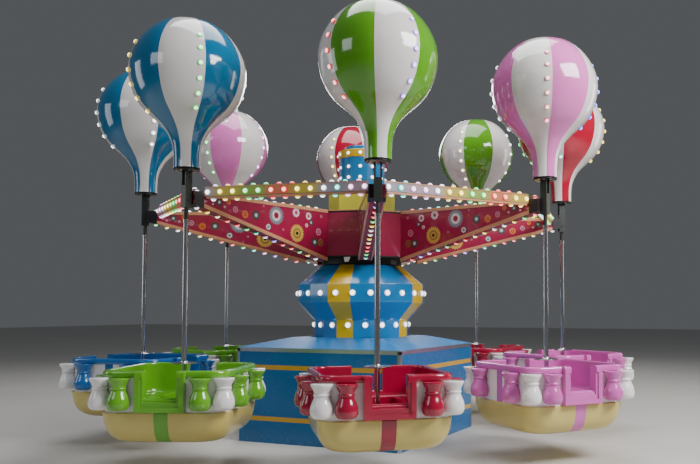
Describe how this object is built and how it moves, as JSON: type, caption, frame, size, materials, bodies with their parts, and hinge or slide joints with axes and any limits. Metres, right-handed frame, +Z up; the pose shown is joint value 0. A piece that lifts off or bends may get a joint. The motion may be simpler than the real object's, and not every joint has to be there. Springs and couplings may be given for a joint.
{
  "type": "samba balloon ride",
  "caption": "Fairground ride: hot-air-balloon arms on a lifting, turning hub, with a spinning rider tub hung on a chrome pole under each balloon.",
  "frame": {"origin": "middle of the square base's underside, on the ground", "axes": "+Z up, X and Y along the base's sides, -Y out of its front side"},
  "size_m": [7.8423, 7.6713, 5.093],
  "materials": {
    "dark_steel": "satin black paint",
    "blue_paint": "gloss blue paint",
    "blue_shell": "gloss blue gelcoat with yellow staves",
    "silver_steel": "ground steel",
    "maroon_paint": "gloss crimson with printed flowers",
    "yellow_paint": "gloss yellow paint",
    "cream_paint": "gloss cream paint",
    "chrome": "polished",
    "balloon_green": "polished gelcoat, green and white gores",
    "balloon_pink": "polished gelcoat, pink and white gores",
    "balloon_red": "polished gelcoat, red and white gores",
    "balloon_blue": "polished gelcoat, blue and white gores",
    "tub_green": "polished gelcoat, green, white and cream",
    "tub_pink": "polished gelcoat, pink, white and cream",
    "tub_red": "polished gelcoat, red, white and cream",
    "tub_blue": "polished gelcoat, blue, white and cream"
  },
  "bodies": {
    "base": {"base_floor": "dark_steel", "base_housing": "blue_paint", "base_top": "blue_paint", "barrel_shell": "blue_shell", "outer_column": "dark_steel"},
    "lift": {"lift_column": "silver_steel", "turntable": "dark_steel"},
    "head": {"hub_core": "dark_steel", "hub_drum": "maroon_paint", "hub_fascia": "yellow_paint", "crown": "blue_paint", "arm_1": "maroon_paint", "arm_2": "maroon_paint", "arm_3": "maroon_paint", "arm_4": "maroon_paint", "arm_5": "maroon_paint", "arm_6": "maroon_paint", "arm_7": "maroon_paint", "arm_8": "maroon_paint", "rim_beam_1": "cream_paint", "rim_beam_2": "cream_paint", "rim_beam_3": "cream_paint", "rim_beam_4": "cream_paint", "rim_beam_5": "cream_paint", "rim_beam_6": "cream_paint", "rim_beam_7": "cream_paint", "rim_beam_8": "cream_paint", "hanger_pole_1": "chrome", "hanger_pole_2": "chrome", "hanger_pole_3": "chrome", "hanger_pole_4": "chrome", "hanger_pole_5": "chrome", "hanger_pole_6": "chrome", "hanger_pole_7": "chrome", "hanger_pole_8": "chrome", "balloon_1": "balloon_green", "balloon_2": "balloon_pink", "balloon_3": "balloon_red", "balloon_4": "balloon_green", "balloon_5": "balloon_red", "balloon_6": "balloon_pink", "balloon_7": "balloon_blue", "balloon_8": "balloon_blue"},
    "tub_1": {"tub_1": "tub_red"},
    "tub_2": {"tub_2": "tub_pink"},
    "tub_3": {"tub_3": "tub_pink"},
    "tub_4": {"tub_4": "tub_red"},
    "tub_5": {"tub_5": "tub_blue"},
    "tub_6": {"tub_6": "tub_green"},
    "tub_7": {"tub_7": "tub_blue"},
    "tub_8": {"tub_8": "tub_green"}
  },
  "joints": [
    {"name": "lift_slide", "type": "slide", "parent": "base", "child": "lift", "axis": [0, 0, 1], "range_m": [0, 1.2]},
    {"name": "head_turn", "type": "hinge", "parent": "lift", "child": "head", "pos_m": [0, 0, 2.478], "axis": [0, 0, 1], "continuous": true},
    {"name": "tub_1_spin", "type": "hinge", "parent": "head", "child": "tub_1", "pos_m": [1.5924, -2.5425, 0.3622], "axis": [0, 0, 1], "continuous": true},
    {"name": "tub_2_spin", "type": "hinge", "parent": "head", "child": "tub_2", "pos_m": [2.9238, -0.6718, 0.3622], "axis": [0, 0, 1], "continuous": true},
    {"name": "tub_3_spin", "type": "hinge", "parent": "head", "child": "tub_3", "pos_m": [2.5425, 1.5924, 0.3622], "axis": [0, 0, 1], "continuous": true},
    {"name": "tub_4_spin", "type": "hinge", "parent": "head", "child": "tub_4", "pos_m": [0.6718, 2.9238, 0.3622], "axis": [0, 0, 1], "continuous": true},
    {"name": "tub_5_spin", "type": "hinge", "parent": "head", "child": "tub_5", "pos_m": [-1.5924, 2.5425, 0.3622], "axis": [0, 0, 1], "continuous": true},
    {"name": "tub_6_spin", "type": "hinge", "parent": "head", "child": "tub_6", "pos_m": [-2.9238, 0.6718, 0.3622], "axis": [0, 0, 1], "continuous": true},
    {"name": "tub_7_spin", "type": "hinge", "parent": "head", "child": "tub_7", "pos_m": [-2.5425, -1.5924, 0.3622], "axis": [0, 0, 1], "continuous": true},
    {"name": "tub_8_spin", "type": "hinge", "parent": "head", "child": "tub_8", "pos_m": [-0.6718, -2.9238, 0.3622], "axis": [0, 0, 1], "continuous": true}
  ]
}
